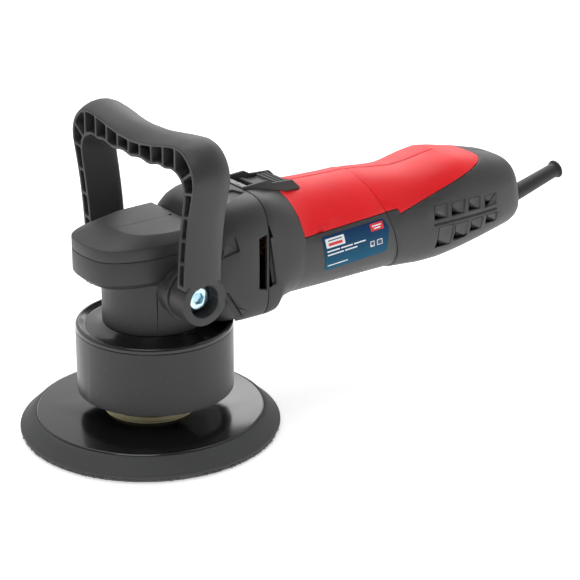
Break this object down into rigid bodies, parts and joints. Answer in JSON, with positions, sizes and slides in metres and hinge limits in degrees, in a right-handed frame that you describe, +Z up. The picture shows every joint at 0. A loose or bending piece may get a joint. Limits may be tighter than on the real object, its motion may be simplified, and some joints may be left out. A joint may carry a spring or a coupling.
{
  "type": "random orbital polisher",
  "caption": "Hand-held dual action polisher with a round backing pad on an eccentric spindle, a D-shaped front handle and an in-line motor grip.",
  "frame": {"origin": "spindle axis at the backing pad's working face", "axes": "+Z up along the spindle, +X from the pad towards the rear grip and cord guard, +Y to the tool's right seen from the front"},
  "size_m": [0.3987, 0.15, 0.1834],
  "materials": {
    "case_plastic": "satin",
    "red_cover": "satin",
    "guard_gloss": "gloss",
    "guard_satin": "satin",
    "pad_foam": "matte",
    "hook_cloth": "matte",
    "label_film": "satin",
    "switch_grey": "satin",
    "soft_black": "matte",
    "steel": "satin",
    "zinc_screw": "satin",
    "yellow_zinc": "satin",
    "die_cast": "satin",
    "copper_wire": "gloss",
    "iron_core": "satin",
    "carbon": "matte",
    "holder_resin": "matte",
    "board_green": "satin"
  },
  "bodies": {
    "machine": {"gear_case": "case_plastic", "gear_case_cap": "case_plastic", "front_housing": "case_plastic", "motor_housing": "case_plastic", "bearing_plate": "die_cast", "top_cover_front": "red_cover", "top_cover_rear": "red_cover", "rear_shell_left": "case_plastic", "rear_shell_right": "case_plastic", "rating_label": "label_film", "cord_guard": "soft_black", "cord_clamp": "guard_satin", "stator_core": "iron_core", "stator_coils": "copper_wire", "brush_holders": "holder_resin", "brushes": "carbon", "brush_springs": "steel", "motor_bearing_front": "steel", "motor_bearing_rear": "steel", "rear_bearing_seat": "guard_satin", "spindle_bearing_upper": "steel", "spindle_bearing_lower": "steel", "spindle_seal": "soft_black", "shroud_skirt": "guard_satin", "shroud_cap": "guard_gloss", "handle_screws": "zinc_screw", "handle_washers": "zinc_screw", "switch_bezel": "case_plastic", "switch_block": "switch_grey", "speed_board": "board_green", "case_screws": "steel", "housing_screws": "steel"},
    "armature": {"armature_shaft": "steel", "armature_core": "iron_core", "armature_coils": "copper_wire", "commutator": "copper_wire", "fan": "guard_satin", "pinion": "steel"},
    "spindle": {"spindle_shaft": "steel", "bevel_gear": "steel", "gear_nut": "steel", "eccentric_weight": "steel", "pad_bearing": "steel"},
    "pad": {"pad_shaft": "steel", "zinc_ring": "yellow_zinc", "pad_plate": "guard_gloss", "foam_pad": "pad_foam", "hook_face": "hook_cloth"},
    "handle": {"d_handle": "case_plastic"},
    "slide_switch": {"switch_knob": "case_plastic", "switch_link": "steel"},
    "speed_wheel": {"speed_dial": "soft_black"}
  },
  "joints": [
    {"name": "spindle_spin", "type": "hinge", "parent": "machine", "child": "spindle", "pos_m": [0, 0, 0.05], "axis": [0, 0, 1], "continuous": true},
    {"name": "armature_spin", "type": "hinge", "parent": "machine", "child": "armature", "pos_m": [0.08, 0, 0.0945], "axis": [1, 0, 0], "continuous": true},
    {"name": "pad_spin", "type": "hinge", "parent": "spindle", "child": "pad", "pos_m": [-0.004, 0, 0.03], "axis": [0, 0, 1], "continuous": true},
    {"name": "handle_tilt", "type": "hinge", "parent": "machine", "child": "handle", "pos_m": [-0.0009, 0, 0.0918], "axis": [0, 1, 0], "range_deg": [-60, 40]},
    {"name": "switch_slide", "type": "slide", "parent": "machine", "child": "slide_switch", "axis": [1, 0, 0], "range_m": [-0.006, 0]},
    {"name": "speed_turn", "type": "hinge", "parent": "machine", "child": "speed_wheel", "pos_m": [0.2526, 0, 0.097], "axis": [0, 1, 0], "range_deg": [-135, 135]}
  ],
  "couplings": [
    {"joint": "armature_spin", "follows": "spindle_spin", "ratio": 3}
  ]
}
